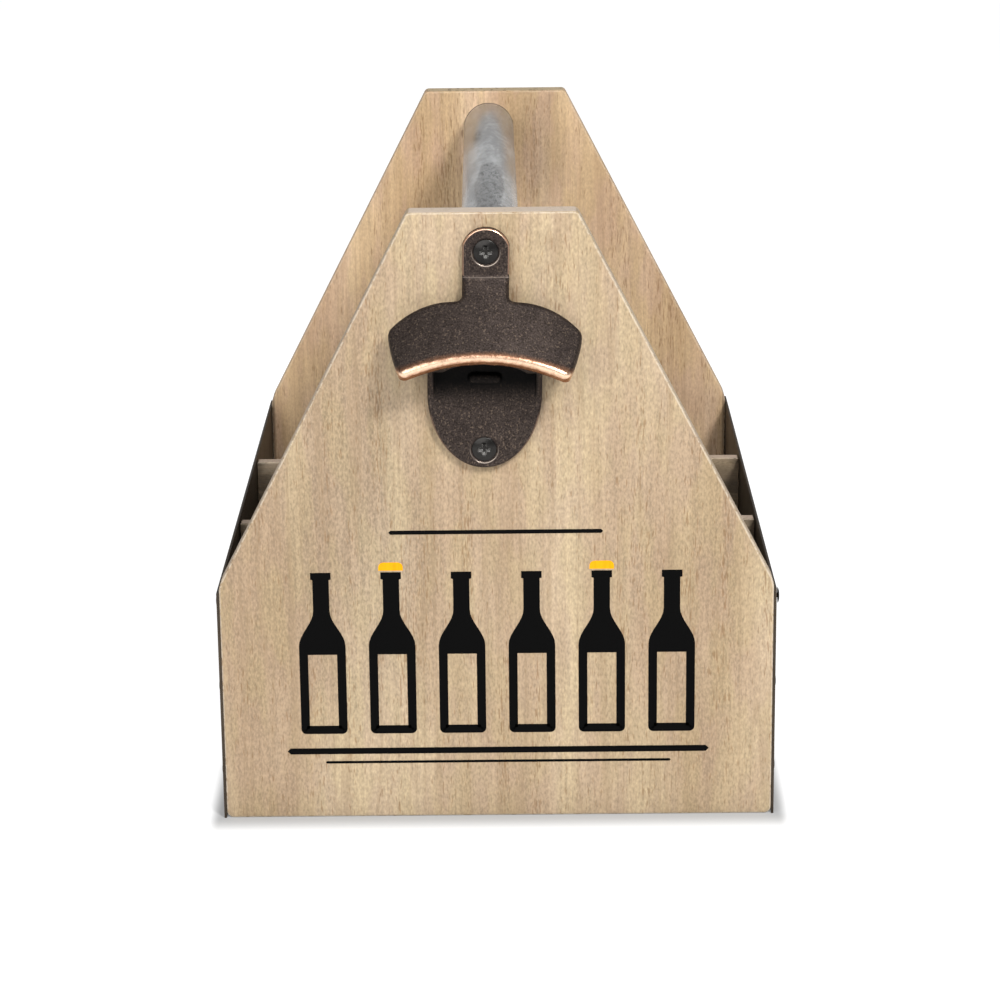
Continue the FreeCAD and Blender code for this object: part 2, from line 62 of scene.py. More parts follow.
def tone(red, green, blue):
    # screen colour 0-255 to the linear colour that sockets take
    share = [value / 255 for value in (red, green, blue)]
    return tuple(s / 12.92 if s <= 0.04045 else ((s + 0.055) / 1.055) ** 2.4 for s in share) + (1,)


def newFinish(name):
    finish = bpy.data.materials.new(name)
    finish.use_nodes = True
    return finish, finish.node_tree, finish.node_tree.nodes["Principled BSDF"]


def feed(tree, socket, value):
    if isinstance(value, bpy.types.NodeSocket):
        tree.links.new(value, socket)
    else:
        socket.default_value = value


def place(tree, scale=(1, 1, 1), shift=(0, 0, 0)):
    coord = tree.nodes.new("ShaderNodeTexCoord")
    mapping = tree.nodes.new("ShaderNodeMapping")
    mapping.inputs["Location"].default_value = shift
    mapping.inputs["Scale"].default_value = scale
    tree.links.new(coord.outputs["Object"], mapping.inputs["Vector"])
    return mapping.outputs["Vector"]


def noise(tree, vector, scale, detail=2.0, rough=0.5, distortion=0.0):
    node = tree.nodes.new("ShaderNodeTexNoise")
    node.inputs["Scale"].default_value = scale
    node.inputs["Detail"].default_value = detail
    node.inputs["Roughness"].default_value = rough
    node.inputs["Distortion"].default_value = distortion
    tree.links.new(vector, node.inputs["Vector"])
    return node.outputs["Fac"]


def ramp(tree, value, stops):
    stops = list(stops)
    node = tree.nodes.new("ShaderNodeValToRGB")
    marks = node.color_ramp.elements
    while len(marks) < len(stops):
        marks.new(0.5)
    for mark, (position, colour) in zip(marks, stops):
        mark.position = position
        mark.color = colour if isinstance(colour, tuple) else (colour, colour, colour, 1)
    tree.links.new(value, node.inputs["Fac"])
    return node.outputs["Color"]


def blendColour(tree, factor, under, over, mode="MIX"):
    node = tree.nodes.new("ShaderNodeMix")
    node.data_type = "RGBA"
    node.blend_type = mode
    # of the node's sockets, the factor and the ones for colours
    feed(tree, node.inputs[0], factor)
    feed(tree, node.inputs[6], under)
    feed(tree, node.inputs[7], over)
    return node.outputs[2]


def sums(tree, operation, first, second=0.0, third=0.0):
    node = tree.nodes.new("ShaderNodeMath")
    node.operation = operation
    for socket, value in zip(node.inputs, (first, second, third)):
        feed(tree, socket, value)
    return node.outputs[0]


def product(tree, first, *others):
    for other in others:
        first = sums(tree, "MULTIPLY", first, other)
    return first


def highest(tree, first, *others):
    for other in others:
        first = sums(tree, "MAXIMUM", first, other)
    return first


def scaled(tree, value, factor, start):
    # start plus factor times value
    return sums(tree, "MULTIPLY_ADD", value, factor, start)


def vectors(tree, operation, first, second=(0, 0, 0), output=0):
    node = tree.nodes.new("ShaderNodeVectorMath")
    node.operation = operation
    feed(tree, node.inputs[0], first)
    feed(tree, node.inputs[1], second)
    return node.outputs[output]


def axes(tree, output):
    # position, normal or direction, as three numbers
    coord = tree.nodes.new("ShaderNodeTexCoord")
    split = tree.nodes.new("ShaderNodeSeparateXYZ")
    tree.links.new(coord.outputs[output], split.inputs[0])
    return split.outputs


def reachFrom(tree, middle, half):
    # distance from a middle, counted in half sizes
    offset = vectors(tree, "SUBTRACT", place(tree), middle)
    return vectors(tree, "LENGTH", vectors(tree, "DIVIDE", offset, half), output="Value")


def radiusFrom(tree, x, z):
    # distance from a line along Y
    offset = vectors(tree, "SUBTRACT", place(tree), (x, 0, z))
    return vectors(tree, "LENGTH", vectors(tree, "MULTIPLY", offset, (1, 0, 1)), output="Value")


def span(tree, value, low, high):
    # 0 at low, 1 at high, smooth between
    node = tree.nodes.new("ShaderNodeMapRange")
    node.interpolation_type = "SMOOTHSTEP"
    node.inputs["From Min"].default_value = low
    node.inputs["From Max"].default_value = high
    tree.links.new(value, node.inputs["Value"])
    return node.outputs["Result"]


def relief(tree, shader, height, strength, distance):
    node = tree.nodes.new("ShaderNodeBump")
    node.inputs["Strength"].default_value = strength
    node.inputs["Distance"].default_value = distance
    tree.links.new(height, node.inputs["Height"])
    tree.links.new(node.outputs["Normal"], shader.inputs["Normal"])


def dress(names, finish):
    for name in names:
        for slot in nodes[name].material_slots:
            slot.material = finish


# Small helpers for modelling

def clearSelection():
    if bpy.context.mode != "OBJECT":
        bpy.ops.object.mode_set(mode="OBJECT")
    bpy.ops.object.select_all(action="DESELECT")


def takeUp(piece):
    clearSelection()
    piece.select_set(True)
    bpy.context.view_layer.objects.active = piece


def settle(piece):
    takeUp(piece)
    bpy.ops.object.transform_apply(location=True, rotation=True, scale=True)


def applyModifier(piece, name, kind, **settings):
    takeUp(piece)
    modifier = piece.modifiers.new(name, kind)
    for key, value in settings.items():
        setattr(modifier, key, value)
    bpy.ops.object.modifier_apply(modifier=modifier.name)


def pick(piece, kind, test):
    # in edit mode: select what lies wholly where test says
    bpy.ops.mesh.select_mode(type=kind)
    bpy.ops.mesh.select_all(action="DESELECT")
    mesh = bmesh.from_edit_mesh(piece.data)
    for item in {"VERT": mesh.verts, "EDGE": mesh.edges, "FACE": mesh.faces}[kind]:
        points = [item.co] if kind == "VERT" else [corner.co for corner in item.verts]
        item.select_set(all(test(point) for point in points))
    mesh.select_flush_mode()
    bmesh.update_edit_mesh(piece.data)


def carry(piece, finish):
    piece.data.materials.clear()
    piece.data.materials.append(finish)
    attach(piece, "caddy")


# Wood

frontWood = {
    "light": tone(171, 153, 126),
    "middle": tone(157, 137, 111),
    "dark": tone(138, 117, 91),
    "yellow": tone(161, 142, 111),
    "pink": tone(158, 136, 114),
    "pore": tone(112, 80, 46),
    "arris": tone(202, 190, 172),
    "arrisShare": 0.52,
    "endGrain": tone(198, 183, 168),
    "sawMark": tone(150, 132, 114),
    "sawShare": 0.25,
    "fleckShare": 0.9,
    "streakShare": 0.5,
    "toneShadeMiddle": (-47 * mm, 0, 100 * mm),
    "toneShadeHalf": (34 * mm, 1, 84 * mm),
    "toneShadeShare": 0.16,
    # painted shade laid low down and in the corners by the side sheets
    "paintedShade": tone(38, 31, 25),
    "paintedShadeTop": 83 * mm,
    "paintedShadeFade": 9 * mm,
    "paintedShadeShare": 0.0,
    "cornerFrom": 93.2 * mm,
    "cornerFade": 0.9 * mm,
    "cornerShadeShare": 0.0,
    "shift": (3.1, 0.0, 1.7),
    "grainAxis": 2,
    "edgesFrom": "Y",
}
rearWood = dict(
    frontWood,
    light=tone(196, 171, 141),
    middle=tone(180, 153, 122),
    dark=tone(158, 129, 99),
    yellow=tone(182, 155, 116),
    pink=tone(182, 152, 127),
    arrisShare=0.2,
    toneShadeMiddle=(16 * mm, 0, 188 * mm),
    toneShadeHalf=(15 * mm, 1, 34 * mm),
    toneShadeShare=0.28,
    endGrain=tone(186, 168, 136),
    sawMark=tone(92, 74, 52),
    sawShare=0.7,
    fleckShare=0.55,
    streakShare=0.6,
    cornerShadeShare=0.6,
    shift=(17.3, 0.0, 6.4),
)
dividerWood = dict(
    frontWood,
    light=tone(176, 160, 137),
    middle=tone(161, 144, 120),
    dark=tone(140, 121, 98),
    yellow=tone(163, 144, 115),
    pink=tone(159, 140, 119),
    pore=tone(104, 86, 66),
    arris=tone(204, 188, 167),
    endGrain=tone(188, 168, 150),
    sawMark=tone(162, 141, 120),
    sawShare=0.5,
    toneShadeShare=0.0,
    paintedShadeShare=0.74,
    cornerFrom=88 * mm,
    cornerFade=6.5 * mm,
    cornerShadeShare=0.7,
    shift=(9.1, 4.2, 2.3),
)
# scale across the grain, its share along the grain, then the noise's detail, roughness and distortion
woodGrain = {
    "band": (42, 0.15, 3, 0.55, 0.0),
    "hue": (130, 0.26, 2, 0.5, 0.0),
    "streak": (700, 0.04, 3, 0.6, 0.0),
    "fleck": (1500, 0.5, 1.5, 0.5, 0.0),
    "line": (110, 0.04, 3, 0.5, 0.4),
    "pore": (1700, 0.12, 1.5, 0.6, 0.0),
    "chain": (170, 0.06, 2, 0.5, 0.0),
}
# a noise is scale, detail, roughness and sometimes distortion; an edge runs from none to full
woodSurface = {
    "bandSteps": (0.36, 0.5, 0.62),
    "hueSteps": (0.42, 0.58),
    "hueShare": 0.45,
    "toneShadeEdge": (1.2, 0.2),
    "lineTurns": 8.0,
    "lineStops": [(0.0, 0.4), (0.25, 0.0)],
    "chainShare": 0.5,
    "poreEdge": (0.84, 0.98),
    "poreShare": 0.5,
    "poreDepth": 0.8,
    "arrisStops": [(0.0, 0.4), (0.25, 1.0), (0.9, 1.0), (0.985, 0.0)],
    "raggedNoise": (700, 3, 0.6),
    "raggedEdge": (0.34, 0.54),
    "topEdge": (0.55, 0.75),
    "topLoss": 0.6,
    "sawStretch": (1, 0.25, 0.25),
    "sawNoise": (700, 3, 0.7),
    "sawEdge": (0.53, 0.63),
    "levelEdge": (0.88, 0.98),
    "levelShare": 0.8,
    "roughness": 0.6,
    "gloss": 0.25,
    "bump": 0.5,
    "bumpDepth": 0.06 * mm,
}


def woodFinish(name, wood):
    surface = woodSurface
    finish, tree, shader = newFinish(name)

    def grain(key):
        scale, stretch, detail, rough, distortion = woodGrain[key]
        sizes = [scale, scale, scale]
        sizes[wood["grainAxis"]] = scale * stretch
        return noise(tree, place(tree, sizes, wood["shift"]), 1, detail, rough, distortion)

    # slow tone bands and a drift between yellow and pink
    bandTones = (wood["dark"], wood["middle"], wood["light"])
    colour = ramp(tree, grain("band"), zip(surface["bandSteps"], bandTones))
    hueColour = ramp(tree, grain("hue"), zip(surface["hueSteps"], (wood["pink"], wood["yellow"])))
    colour = blendColour(tree, surface["hueShare"], colour, hueColour)

    # fine streaks along the grain and short flecks
    streak = grain("streak")
    base = 1 - (wood["fleckShare"] + wood["streakShare"]) / 2
    shade = scaled(tree, grain("fleck"), wood["fleckShare"], base)
    shade = scaled(tree, streak, wood["streakShare"], shade)

    # a duller patch, partly wood tone and partly painted shade; on the rear board it paints the handle
    # tube's shadow
    toneShade = span(tree, reachFrom(tree, wood["toneShadeMiddle"], wood["toneShadeHalf"]), *surface["toneShadeEdge"])
    shade = scaled(tree, toneShade, -wood["toneShadeShare"], shade)
    colour = blendColour(tree, 1.0, colour, shade, "MULTIPLY")

    # painted shade: darker low down and in the corners by the side sheets, where shade falls
    position = axes(tree, "Object")
    low = span(tree, position["Z"], wood["paintedShadeTop"], wood["paintedShadeTop"] - wood["paintedShadeFade"])
    outward = sums(tree, "ABSOLUTE", position["X"])
    corner = span(tree, outward, wood["cornerFrom"], wood["cornerFrom"] + wood["cornerFade"])
    paintedShade = highest(tree, product(tree, low, wood["paintedShadeShare"]), product(tree, corner, wood["cornerShadeShare"]))
    colour = blendColour(tree, paintedShade, colour, wood["paintedShade"])

    # growth lines: thin contours of a stretched noise
    ripple = sums(tree, "PINGPONG", product(tree, grain("line"), surface["lineTurns"]), 1.0)
    colour = blendColour(tree, ramp(tree, ripple, surface["lineStops"]), colour, wood["dark"])

    # short pores in chains along the grain
    poreField = scaled(tree, grain("chain"), surface["chainShare"], grain("pore"))
    pore = span(tree, poreField, *surface["poreEdge"])
    colour = blendColour(tree, product(tree, pore, surface["poreShare"]), colour, wood["pore"])

    # pale sanded arris, fainter along the top
    normal = axes(tree, "Normal")
    ragged = noise(tree, place(tree), *surface["raggedNoise"])
    onTop = span(tree, normal["Z"], *surface["topEdge"])
    arris = product(
        tree,
        ramp(tree, sums(tree, "ABSOLUTE", normal[wood["edgesFrom"]]), surface["arrisStops"]),
        span(tree, ragged, *surface["raggedEdge"]),
        scaled(tree, onTop, -surface["topLoss"], 1),
        wood["arrisShare"],
    )
    colour = blendColour(tree, arris, colour, wood["arris"])

    # saw-marked end grain on the level edges
    saw = noise(tree, place(tree, surface["sawStretch"], wood["shift"]), *surface["sawNoise"])
    sawMask = product(tree, span(tree, saw, *surface["sawEdge"]), wood["sawShare"])
    endColour = blendColour(tree, sawMask, wood["endGrain"], wood["sawMark"])
    level = product(tree, span(tree, normal["Z"], *surface["levelEdge"]), surface["levelShare"])
    colour = blendColour(tree, level, colour, endColour)

    tree.links.new(colour, shader.inputs["Base Color"])
    shader.inputs["Roughness"].default_value = surface["roughness"]
    shader.inputs["Specular IOR Level"].default_value = surface["gloss"]
    height = sums(tree, "SUBTRACT", streak, product(tree, pore, surface["poreDepth"]))
    relief(tree, shader, height, surface["bump"], surface["bumpDepth"])
    return finish


crossWood = dict(dividerWood, grainAxis=0, edgesFrom="Y")
centreWood = dict(dividerWood, grainAxis=1, edgesFrom="X")
baseWood = dict(dividerWood, grainAxis=1, edgesFrom="Z", paintedShadeShare=0.3)
dowelWood = dict(dividerWood, grainAxis=1, paintedShadeShare=0.0, cornerShadeShare=0.0)
dress(["front_panel"], woodFinish("sandedFrontWood", frontWood))
dress(["rear_panel"], woodFinish("sandedRearWood", rearWood))
dress(["front_cross_divider", "rear_cross_divider"], woodFinish("crossDividerWood", crossWood))
dress(["centre_divider"], woodFinish("centreDividerWood", centreWood))
dress(["base_board"], woodFinish("baseWood", baseWood))
dress(["front_base_dowels", "rear_base_dowels", "front_handle_plug", "rear_handle_plug"],
      woodFinish("dowelWood", dowelWood))
print("wood done")


# Sheet steel, nails, screws and the zinc tube

sheetSteel = {
    "dark": tone(43, 35, 27),
    "pale": tone(69, 58, 46),
    "metallic": 0.25,
    "rough": (0.42, 0.6),
    "gloss": 0.3,
}
nailSteel = {
    "dark": tone(13, 12, 11),
    "pale": tone(27, 25, 23),
    "metallic": 0.1,
    "rough": (0.8, 0.95),
    "gloss": 0.05,
}
screwSteel = {
    "dark": tone(22, 21, 20),
    "pale": tone(62, 60, 58),
    "metallic": 0.8,
    "rough": (0.18, 0.34),
    "gloss": 0.3,
    # painted glint on the flanks of the cross recess
    "flankGlint": tone(214, 212, 208),
    "flankSideEdge": (0.6, 0.85),
    "flankSideShare": 0.5,
    "flankUpEdge": (0.5, 0.75),
    "recessEdge": (2.4 * mm, 1.8 * mm),
}
steelSurface = {
    "blotchStretch": (1, 1, 0.5),
    "blotchNoise": (34, 5, 0.6),
    "toneSteps": (0.32, 0.7),
    "roughSteps": (0.3, 0.75),
    "fineNoise": (900, 3, 0.6),
    "fineStops": [(0.3, 0.36), (0.7, 0.6)],
    "fineShare": 0.5,
    "bump": 0.25,
    "bumpDepth": 0.04 * mm,
}
zincTube = {
    "dull": tone(137, 138, 139),
    "bright": tone(196, 198, 199),
    "stain": tone(20, 20, 19),
    "stretch": (1, 0.2, 1),
    "sweepNoise": (70, 4, 0.6, 0.3),
    "fineStretch": (1, 0.45, 1),
    "fineNoise": (480, 3, 0.6),
    "fineShare": 0.4,
    "toneSteps": (0.58, 0.82),
    "speckNoise": (1000, 5, 0.8),
    "strayEdge": (0.66, 0.74),
    "patchMiddle": (-1.2 * mm, -56 * mm, 209 * mm),
    "patchHalf": (5.4 * mm, 52 * mm, 20 * mm),
    "patchRagged": 0.7,
    "patchEdge": (1.36, 1.16),
    "patchSpeckEdge": (0.46, 0.62),
    "patchSpeckShare": 0.66,
    "patchBase": 0.3,
    "blotMiddle": (-6.6 * mm, 49 * mm, 206 * mm),
    "blotHalf": (2.2 * mm, 15 * mm, 6 * mm),
    "blotEdge": (1.2, 0.4),
    "blotSpeckEdge": (0.42, 0.52),
    "bandRearEdge": (-84 * mm, -91 * mm),
    "bandFrontEdge": (-104 * mm, -97 * mm),
    "bandTopEdge": (0.35, 0.75),
    "bandSpeckEdge": (0.46, 0.56),
    "sideEdge": (0.5, 0.95),
    "sideShade": 0.2,
    "rightEdge": (0.8, 1.0),
    "rightShade": 0.16,
    "metallic": 0.6,
    "gloss": 0.3,
    "rough": 0.16,
    "roughSpread": 0.16,
    "bump": 0.2,
    "bumpDepth": 0.03 * mm,
}


def steelFinish(name, steel):
    surface = steelSurface
    finish, tree, shader = newFinish(name)
    blotch = noise(tree, place(tree, surface["blotchStretch"]), *surface["blotchNoise"])
    fine = noise(tree, place(tree), *surface["fineNoise"])
    colour = ramp(tree, blotch, zip(surface["toneSteps"], (steel["dark"], steel["pale"])))
    fineTone = ramp(tree, fine, surface["fineStops"])
    colour = blendColour(tree, surface["fineShare"], colour, fineTone, "OVERLAY")
    tree.links.new(colour, shader.inputs["Base Color"])
    rough = ramp(tree, blotch, zip(surface["roughSteps"], steel["rough"]))
    tree.links.new(rough, shader.inputs["Roughness"])
    shader.inputs["Metallic"].default_value = steel["metallic"]
    shader.inputs["Specular IOR Level"].default_value = steel["gloss"]
    relief(tree, shader, fine, surface["bump"], surface["bumpDepth"])
    return finish


def zincFinish(name):
    zinc = zincTube
    finish, tree, shader = newFinish(name)
    position = axes(tree, "Object")
    normal = axes(tree, "Normal")
    sweep = noise(tree, place(tree, zinc["stretch"]), *zinc["sweepNoise"])
    fine = noise(tree, place(tree, zinc["fineStretch"]), *zinc["fineNoise"])
    mottle = scaled(tree, fine, zinc["fineShare"], sweep)
    colour = ramp(tree, mottle, zip(zinc["toneSteps"], (zinc["dull"], zinc["bright"])))

    # a stained patch on top, its edge broken up
    speckField = noise(tree, place(tree, zinc["stretch"]), *zinc["speckNoise"])
    patchReach = reachFrom(tree, zinc["patchMiddle"], zinc["patchHalf"])
    patch = span(tree, scaled(tree, sweep, zinc["patchRagged"], patchReach), *zinc["patchEdge"])
    patchSpeck = span(tree, speckField, *zinc["patchSpeckEdge"])
    patch = product(tree, patch, scaled(tree, patchSpeck, zinc["patchSpeckShare"], zinc["patchBase"]))

    # a blot towards the rear, a band of specks behind the front board and stray ones all over
    blot = product(
        tree,
        span(tree, reachFrom(tree, zinc["blotMiddle"], zinc["blotHalf"]), *zinc["blotEdge"]),
        span(tree, speckField, *zinc["blotSpeckEdge"]),
    )
    band = product(
        tree,
        span(tree, position["Y"], *zinc["bandRearEdge"]),
        span(tree, position["Y"], *zinc["bandFrontEdge"]),
        span(tree, normal["Z"], *zinc["bandTopEdge"]),
        span(tree, speckField, *zinc["bandSpeckEdge"]),
    )
    stain = highest(tree, patch, blot, band, span(tree, speckField, *zinc["strayEdge"]))
    colour = blendColour(tree, stain, colour, zinc["stain"])

    # painted shade and reflection: the sides darker, the right one darker still
    side = span(tree, sums(tree, "ABSOLUTE", normal["X"]), *zinc["sideEdge"])
    shade = scaled(tree, side, -zinc["sideShade"], 1)
    right = span(tree, normal["X"], *zinc["rightEdge"])
    shade = scaled(tree, right, -zinc["rightShade"], shade)
    colour = blendColour(tree, 1.0, colour, shade, "MULTIPLY")

    tree.links.new(colour, shader.inputs["Base Color"])
    shader.inputs["Metallic"].default_value = zinc["metallic"]
    shader.inputs["Specular IOR Level"].default_value = zinc["gloss"]
    tree.links.new(scaled(tree, sweep, zinc["roughSpread"], zinc["rough"]), shader.inputs["Roughness"])
    relief(tree, shader, fine, zinc["bump"], zinc["bumpDepth"])
    return finish


dress(["left_side_sheet", "right_side_sheet"], steelFinish("patinatedSheet", sheetSteel))
dress(["left_panel_nails", "right_panel_nails", "left_base_nails", "right_base_nails"],
      steelFinish("blackenedNail", nailSteel))
dress(["rear_handle_screw"], steelFinish("blackScrew", screwSteel))
dress(["handle_tube"], zincFinish("galvanisedZinc"))
print("metals done")


# Cast opener and its screws: the CAD shapes with cast roundings, grain, worn copper and painted highlights
# and shade

castOpener = {
    "mergeDistance": 0.005 * mm,
    "voxel": 0.38 * mm,
    "screwVoxel": 0.15 * mm,
    "smoothShare": 0.5,
    "smoothTurns": 3,
    "screwSmoothTurns": 5,
    "grainHeight": 0.05 * mm,
    "grainSize": 0.9 * mm,
    "dark": tone(51, 44, 41),
    "brown": tone(61, 53, 49),
    "mottleNoise": (170, 4, 0.6),
    "mottleSteps": (0.35, 0.68),
    "grainNoise": (1900, 2, 0.6),
    "grainContrast": 3.0,
    "grainBase": -0.5,
    "speck": tone(138, 120, 104),
    "speckStretch": (1, 1, 0.7),
    "speckNoise": (1500, 2, 0.5),
    "speckEdge": (0.57, 0.7),
    "speckShare": 0.29,
    "axis": -2.8 * mm,
    "tilt": 0.0192,
    "browFace": -143 * mm,
    "plateFace": -133 * mm,
    "lipHeight": 169.5 * mm,
    "lipArch": 8.46,
    "lipBand": 0.5 * mm,
    "lipSpread": 0.14,
    "lipScuff": 1.3 * mm,
    "lipFadeAbove": 2.2 * mm,
    "lipFadeBelow": 1.0 * mm,
    "lipFoot": 2.6 * mm,
    "lipFootFade": 0.5 * mm,
    "lipDepthFade": 2 * mm,
    "blotchNoise": (620, 3, 0.6),
    "copper": tone(243, 207, 177),
    "copperShade": tone(150, 103, 73),
    "copperBlotch": 0.8,
    "copperUpEdge": (-0.45, 0.35),
    "copperCoreEdge": (0.35, 0.95),
    "mouthTop": 158 * mm,
    "mouthFoot": 147 * mm,
    "mouthHalf": 17 * mm,
    "mouthSideFade": 1 * mm,
    "mouthDepthFade": 4 * mm,
    # painted shade inside the mouth
    "mouthShadeTone": (0.002, 0.002, 0.002, 1),
    "mouthShadeShare": 0.97,
    "toothFoot": 0.4 * mm,
    "toothTop": 1.2 * mm,
    "toothShadeLoss": 0.16,
    "bareAndGlint": tone(132, 121, 112),
    "creaseHeight": 192.6 * mm,
    "creaseHalf": 0.15 * mm,
    "creaseShare": 0.3,
    "screwPlaces": [(-2.2 * mm, 201.1 * mm), (-3.5 * mm, 133.61 * mm)],
    "ringRadius": 4.75 * mm,
    "ringEdge": (0.24 * mm, 0.06 * mm),
    "ringFrom": 2 * mm,
    "ringTo": 3 * mm,
    "ringClear": 0.6 * mm,
    "rubbedAndLit": tone(232, 190, 162),
    "rimStops": [(0.25, 0.0), (0.4, 1.0), (0.86, 1.0), (0.96, 0.0)],
    "rimDepthFade": 1 * mm,
    "rimUpEdge": (0.05, 0.4),
    "rimSideEdge": (0.3, 0.6),
    "rimSideShare": 0.35,
    "tabFrom": 0.6 * mm,
    "tabTo": 1.2 * mm,
    "tongueFade": 3 * mm,
    "tongueShare": 0.5,
    "metallic": 0.75,
    "metallicGain": 0.2,
    "rough": 0.54,
    "roughLoss": 0.28,
    "gloss": 0.12,
    "bump": 0.35,
    "bumpDepth": 0.06 * mm,
}


def bronzeFinish(name):
    cast = castOpener
    brow = cast["browFace"]
    plate = cast["plateFace"]
    crease = cast["creaseHeight"]
    finish, tree, shader = newFinish(name)
    position = axes(tree, "Object")
    normal = axes(tree, "Normal")
    mottle = noise(tree, place(tree), *cast["mottleNoise"])
    colour = ramp(tree, mottle, zip(cast["mottleSteps"], (cast["dark"], cast["brown"])))
    grain = noise(tree, place(tree), *cast["grainNoise"])
    shade = scaled(tree, grain, cast["grainContrast"], cast["grainBase"])
    colour = blendColour(tree, 1.0, colour, shade, "MULTIPLY")
    speckField = noise(tree, place(tree, cast["speckStretch"]), *cast["speckNoise"])
    speck = product(tree, span(tree, speckField, *cast["speckEdge"]), cast["speckShare"])
    colour = blendColour(tree, speck, colour, cast["speck"])

    # the lip, worn to copper: its height falls away from the middle to both ends
    across = sums(tree, "SUBTRACT", position["X"], cast["axis"])
    arch = product(tree, across, across, cast["lipArch"])
    height = sums(tree, "ADD", scaled(tree, across, cast["tilt"], position["Z"]), arch)
    blotch = noise(tree, place(tree), *cast["blotchNoise"])
    scuffed = scaled(tree, blotch, -cast["lipScuff"], height)
    scuffed = scaled(tree, grain, -cast["lipScuff"], scuffed)
    scuffed = scaled(tree, arch, -cast["lipSpread"], scuffed)
    edge = cast["lipHeight"] + cast["lipBand"] - cast["lipScuff"]
    lipFoot = cast["lipHeight"] - cast["lipFoot"]
    lip = product(
        tree,
        span(tree, scuffed, edge + cast["lipFadeAbove"], edge - cast["lipFadeBelow"]),
        span(tree, height, lipFoot - cast["lipFootFade"], lipFoot),
        span(tree, position["Y"], brow, brow - cast["lipDepthFade"]),
    )
    # painted highlight and shade: the copper is paler where it faces up, darker where it faces down and at
    # the band's fringe
    facingUp = scaled(tree, blotch, cast["copperBlotch"], normal["Z"])
    upward = span(tree, facingUp, *cast["copperUpEdge"])
    copper = blendColour(tree, upward, cast["copperShade"], cast["copper"])
    copper = blendColour(tree, span(tree, lip, *cast["copperCoreEdge"]), cast["copperShade"], copper)
    colour = blendColour(tree, lip, colour, copper)

    # painted shade inside the mouth, under the brow, a little less on the tooth
    fromMiddle = sums(tree, "ABSOLUTE", across)
    half = cast["mouthHalf"]
    onTooth = span(tree, position["Y"], plate - cast["toothFoot"], plate - cast["toothTop"])
    inside = product(
        tree,
        span(tree, fromMiddle, half + cast["mouthSideFade"], half),
        span(tree, position["Z"], cast["mouthFoot"], cast["mouthTop"]),
        span(tree, position["Y"], brow, brow + cast["mouthDepthFade"]),
        span(tree, position["Z"], crease, cast["mouthTop"]),
        scaled(tree, onTooth, -cast["toothShadeLoss"], cast["mouthShadeShare"]),
    )
    colour = blendColour(tree, inside, colour, cast["mouthShadeTone"])

    # bare rings round the screws, kept to their lower part as a painted highlight, and the line across the
    # tab
    fold = sums(tree, "ABSOLUTE", sums(tree, "SUBTRACT", position["Z"], crease))
    bareAndGlint = product(tree, span(tree, fold, cast["creaseHalf"] * 2, cast["creaseHalf"]), cast["creaseShare"])
    clear = 1.0
    for x, z in cast["screwPlaces"]:
        radius = radiusFrom(tree, x, z)
        ring = sums(tree, "ABSOLUTE", sums(tree, "SUBTRACT", radius, cast["ringRadius"]))
        below = span(tree, position["Z"], z + cast["ringFrom"], z - cast["ringTo"])
        bareAndGlint = highest(tree, bareAndGlint, product(tree, span(tree, ring, *cast["ringEdge"]), below))
        outside = span(tree, radius, cast["ringRadius"], cast["ringRadius"] + cast["ringClear"])
        clear = product(tree, outside, clear)
    colour = blendColour(tree, bareAndGlint, colour, cast["bareAndGlint"])

    # the rounds of the tab and the tongue: rubbed bright, with a painted highlight where they face up, less
    # at the sides
    upper = span(tree, normal["Z"], *cast["rimUpEdge"])
    sides = span(tree, sums(tree, "ABSOLUTE", normal["X"]), *cast["rimSideEdge"])
    onTab = span(tree, position["Z"], crease + cast["tabFrom"], crease + cast["tabTo"])
    onTongue = span(tree, position["Z"], cast["mouthFoot"], cast["mouthFoot"] - cast["tongueFade"])
    rim = product(
        tree,
        ramp(tree, sums(tree, "ABSOLUTE", normal["Y"]), cast["rimStops"]),
        span(tree, position["Y"], plate - cast["rimDepthFade"], plate),
        highest(tree, upper, product(tree, sides, cast["rimSideShare"])),
        highest(tree, onTab, product(tree, onTongue, cast["tongueShare"])),
        clear,
    )
    colour = blendColour(tree, rim, colour, cast["rubbedAndLit"])

    worn = highest(tree, lip, rim, bareAndGlint)
    tree.links.new(colour, shader.inputs["Base Color"])
    tree.links.new(scaled(tree, worn, cast["metallicGain"], cast["metallic"]), shader.inputs["Metallic"])
    shader.inputs["Specular IOR Level"].default_value = cast["gloss"]
    tree.links.new(scaled(tree, worn, -cast["roughLoss"], cast["rough"]), shader.inputs["Roughness"])
    relief(tree, shader, grain, cast["bump"], cast["bumpDepth"])
    return finish


def softCopy(name, node, voxel, smoothTurns):
    # the CAD piece's own shape, merged, re-meshed evenly and rounded
    piece = bpy.data.objects.new(name, nodes[node].data.copy())
    bpy.context.scene.collection.objects.link(piece)
    takeUp(piece)
    bpy.ops.object.mode_set(mode="EDIT")
    bpy.ops.mesh.select_all(action="SELECT")
    bpy.ops.mesh.remove_doubles(threshold=castOpener["mergeDistance"])
    bpy.ops.object.mode_set(mode="OBJECT")
    bpy.ops.mesh.customdata_custom_splitnormals_clear()
    piece.data.remesh_voxel_size = voxel
    bpy.ops.object.voxel_remesh()
    applyModifier(piece, "rounding", "SMOOTH", factor=castOpener["smoothShare"], iterations=smoothTurns)
    bpy.ops.object.shade_smooth()
    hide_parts(node)
    print(name, len(piece.data.polygons), "faces")
    return piece


def makeCastOpener():
    piece = softCopy("castOpener", "opener_casting", castOpener["voxel"], castOpener["smoothTurns"])
    clouds = bpy.data.textures.new("castGrain", "CLOUDS")
    clouds.noise_scale = castOpener["grainSize"]
    applyModifier(piece, "castGrain", "DISPLACE", texture=clouds, texture_coords="LOCAL",
                  strength=castOpener["grainHeight"], mid_level=0.5)
    carry(piece, bronzeFinish("antiqueBronze"))


